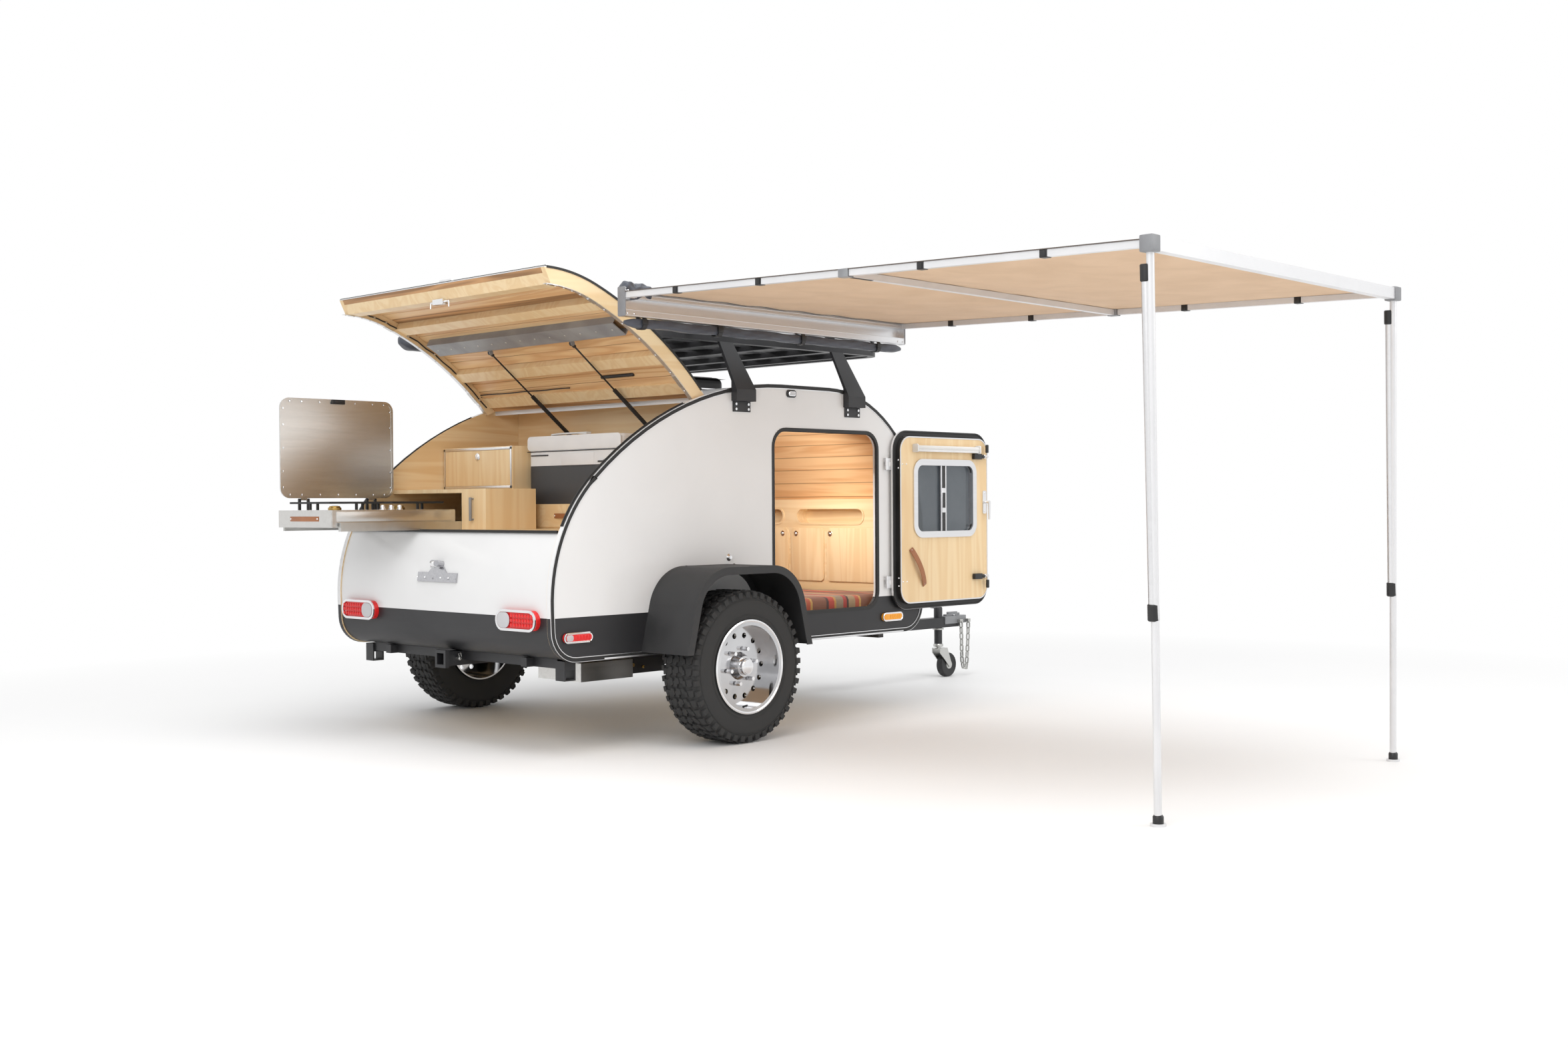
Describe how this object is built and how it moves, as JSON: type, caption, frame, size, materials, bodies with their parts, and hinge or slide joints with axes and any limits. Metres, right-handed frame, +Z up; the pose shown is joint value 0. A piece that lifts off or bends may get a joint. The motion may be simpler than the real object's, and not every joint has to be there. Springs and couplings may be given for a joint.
{
  "type": "teardrop camping trailer",
  "caption": "Teardrop camping trailer with an open galley hatch, an open side door, a slid-out stove, a roof rack and a deployed side awning.",
  "frame": {"origin": "centre of the coupler's ball socket", "axes": "+X forward (the way it is towed), +Y left, +Z up"},
  "size_m": [4.2429, 4.606, 2.0476],
  "materials": {
    "white_skin": "gloss",
    "hatch_skin": "gloss",
    "cedar": "satin",
    "birch_ply": "satin",
    "black_steel": "satin",
    "grey_steel": "satin",
    "stainless": "brushed",
    "zinc": "plated",
    "aluminium": "satin",
    "black_plastic": "matt",
    "cooler_plastic": "matt",
    "tyre_rubber": "matt",
    "rim_paint": "satin",
    "pvc": "coated",
    "canvas": "woven",
    "blanket": "woven",
    "red_lens": "gloss",
    "amber_lens": "gloss",
    "clear_glass": "clear",
    "chrome": "polished"
  },
  "bodies": {
    "trailer": {"side_wall_right": "white_skin", "side_wall_left": "white_skin", "roof_and_nose": "white_skin", "rear_skin": "white_skin", "floor_deck": "birch_ply", "bulkhead": "birch_ply", "galley_counter": "birch_ply", "galley_cabinet": "birch_ply", "cooler_drawer": "birch_ply", "cooler": "cooler_plastic", "stove": "stainless", "stove_runners": "zinc", "front_cabinet": "birch_ply", "mattress": "blanket", "chassis": "black_steel", "coupler": "grey_steel", "safety_chain": "zinc", "axle": "black_steel", "mudguard_right": "black_plastic", "mudguard_left": "black_plastic", "jack_tube": "black_steel", "roof_rack": "black_steel", "stowed_bag": "pvc", "awning_case": "aluminium", "awning_bag": "pvc", "awning_frame": "aluminium", "awning_canvas": "canvas", "roof_vent": "black_plastic", "tail_lamp_right": "red_lens", "tail_lamp_left": "red_lens", "side_marker_rear_right": "red_lens", "side_marker_rear_left": "red_lens", "side_marker_front_right": "amber_lens", "side_marker_front_left": "amber_lens", "plate_bracket": "chrome", "under_floor_box": "stainless", "valve_box": "black_steel"},
    "hatch": {"hatch_sheet": "hatch_skin", "hatch_lining": "cedar", "hatch_frame": "birch_ply", "hatch_channel": "grey_steel"},
    "strut_barrel_right": {"strut_barrel_right": "black_steel"},
    "strut_barrel_left": {"strut_barrel_left": "black_steel"},
    "strut_rod_right": {"strut_rod_right": "black_steel"},
    "strut_rod_left": {"strut_rod_left": "black_steel"},
    "stove_lid": {"stove_lid": "stainless"},
    "door_right": {"door_right": "birch_ply", "window_frame_right": "aluminium", "window_pane_right": "clear_glass"},
    "door_left": {"door_left": "birch_ply", "window_frame_left": "aluminium", "window_pane_left": "clear_glass"},
    "wheel_right": {"rim_right": "rim_paint", "tyre_right": "tyre_rubber"},
    "wheel_left": {"rim_left": "rim_paint", "tyre_left": "tyre_rubber"},
    "caster_fork": {"caster_fork": "zinc"},
    "caster_wheel": {"caster_wheel": "black_plastic"}
  },
  "joints": [
    {"name": "hatch_hinge", "type": "hinge", "parent": "trailer", "child": "hatch", "pos_m": [-2.917, 0, 1.21059], "axis": [0, 1, 0], "range_deg": [-50, 0]},
    {"name": "stove_lid_hinge", "type": "hinge", "parent": "trailer", "child": "stove_lid", "pos_m": [-3.9, 0.7045, 0.75], "axis": [1, 0, 0], "range_deg": [0, 90]},
    {"name": "strut_right_swing", "type": "hinge", "parent": "trailer", "child": "strut_barrel_right", "pos_m": [-2.805, -0.31, 1.062], "axis": [0, 1, 0], "range_deg": [-37.5, 0]},
    {"name": "strut_right_stroke", "type": "slide", "parent": "strut_barrel_right", "child": "strut_rod_right", "axis": [-0.7844, 0, 0.6203], "range_m": [-0.0873, 0]},
    {"name": "strut_left_swing", "type": "hinge", "parent": "trailer", "child": "strut_barrel_left", "pos_m": [-2.805, 0.31, 1.062], "axis": [0, 1, 0], "range_deg": [-37.5, 0]},
    {"name": "strut_left_stroke", "type": "slide", "parent": "strut_barrel_left", "child": "strut_rod_left", "axis": [-0.7844, 0, 0.6203], "range_m": [-0.0873, 0]},
    {"name": "door_right_hinge", "type": "hinge", "parent": "trailer", "child": "door_right", "pos_m": [-1.692, -0.83, 0.615], "axis": [0, 0, 1], "range_deg": [-180, 0]},
    {"name": "wheel_right_spin", "type": "hinge", "parent": "trailer", "child": "wheel_right", "pos_m": [-2.95, -0.988, -0.002], "axis": [0, 1, 0], "continuous": true},
    {"name": "door_left_hinge", "type": "hinge", "parent": "trailer", "child": "door_left", "pos_m": [-1.692, 0.83, 0.615], "axis": [0, 0, 1], "range_deg": [-180, 0]},
    {"name": "wheel_left_spin", "type": "hinge", "parent": "trailer", "child": "wheel_left", "pos_m": [-2.95, 0.988, -0.002], "axis": [0, 1, 0], "continuous": true},
    {"name": "caster_swivel", "type": "hinge", "parent": "trailer", "child": "caster_fork", "pos_m": [-0.226, 0, -0.16], "axis": [0, 0, 1], "continuous": true},
    {"name": "caster_spin", "type": "hinge", "parent": "caster_fork", "child": "caster_wheel", "pos_m": [-0.148, 0, -0.267], "axis": [0, 1, 0], "continuous": true}
  ],
  "couplings": [
    {"joint": "stove_lid_hinge", "follows": "hatch_hinge", "ratio": -1.8},
    {"joint": "strut_right_swing", "follows": "hatch_hinge", "ratio": 0.744},
    {"joint": "strut_right_stroke", "follows": "hatch_hinge", "m_per_rad": 0.09944},
    {"joint": "strut_left_swing", "follows": "hatch_hinge", "ratio": 0.744},
    {"joint": "strut_left_stroke", "follows": "hatch_hinge", "m_per_rad": 0.09944}
  ]
}
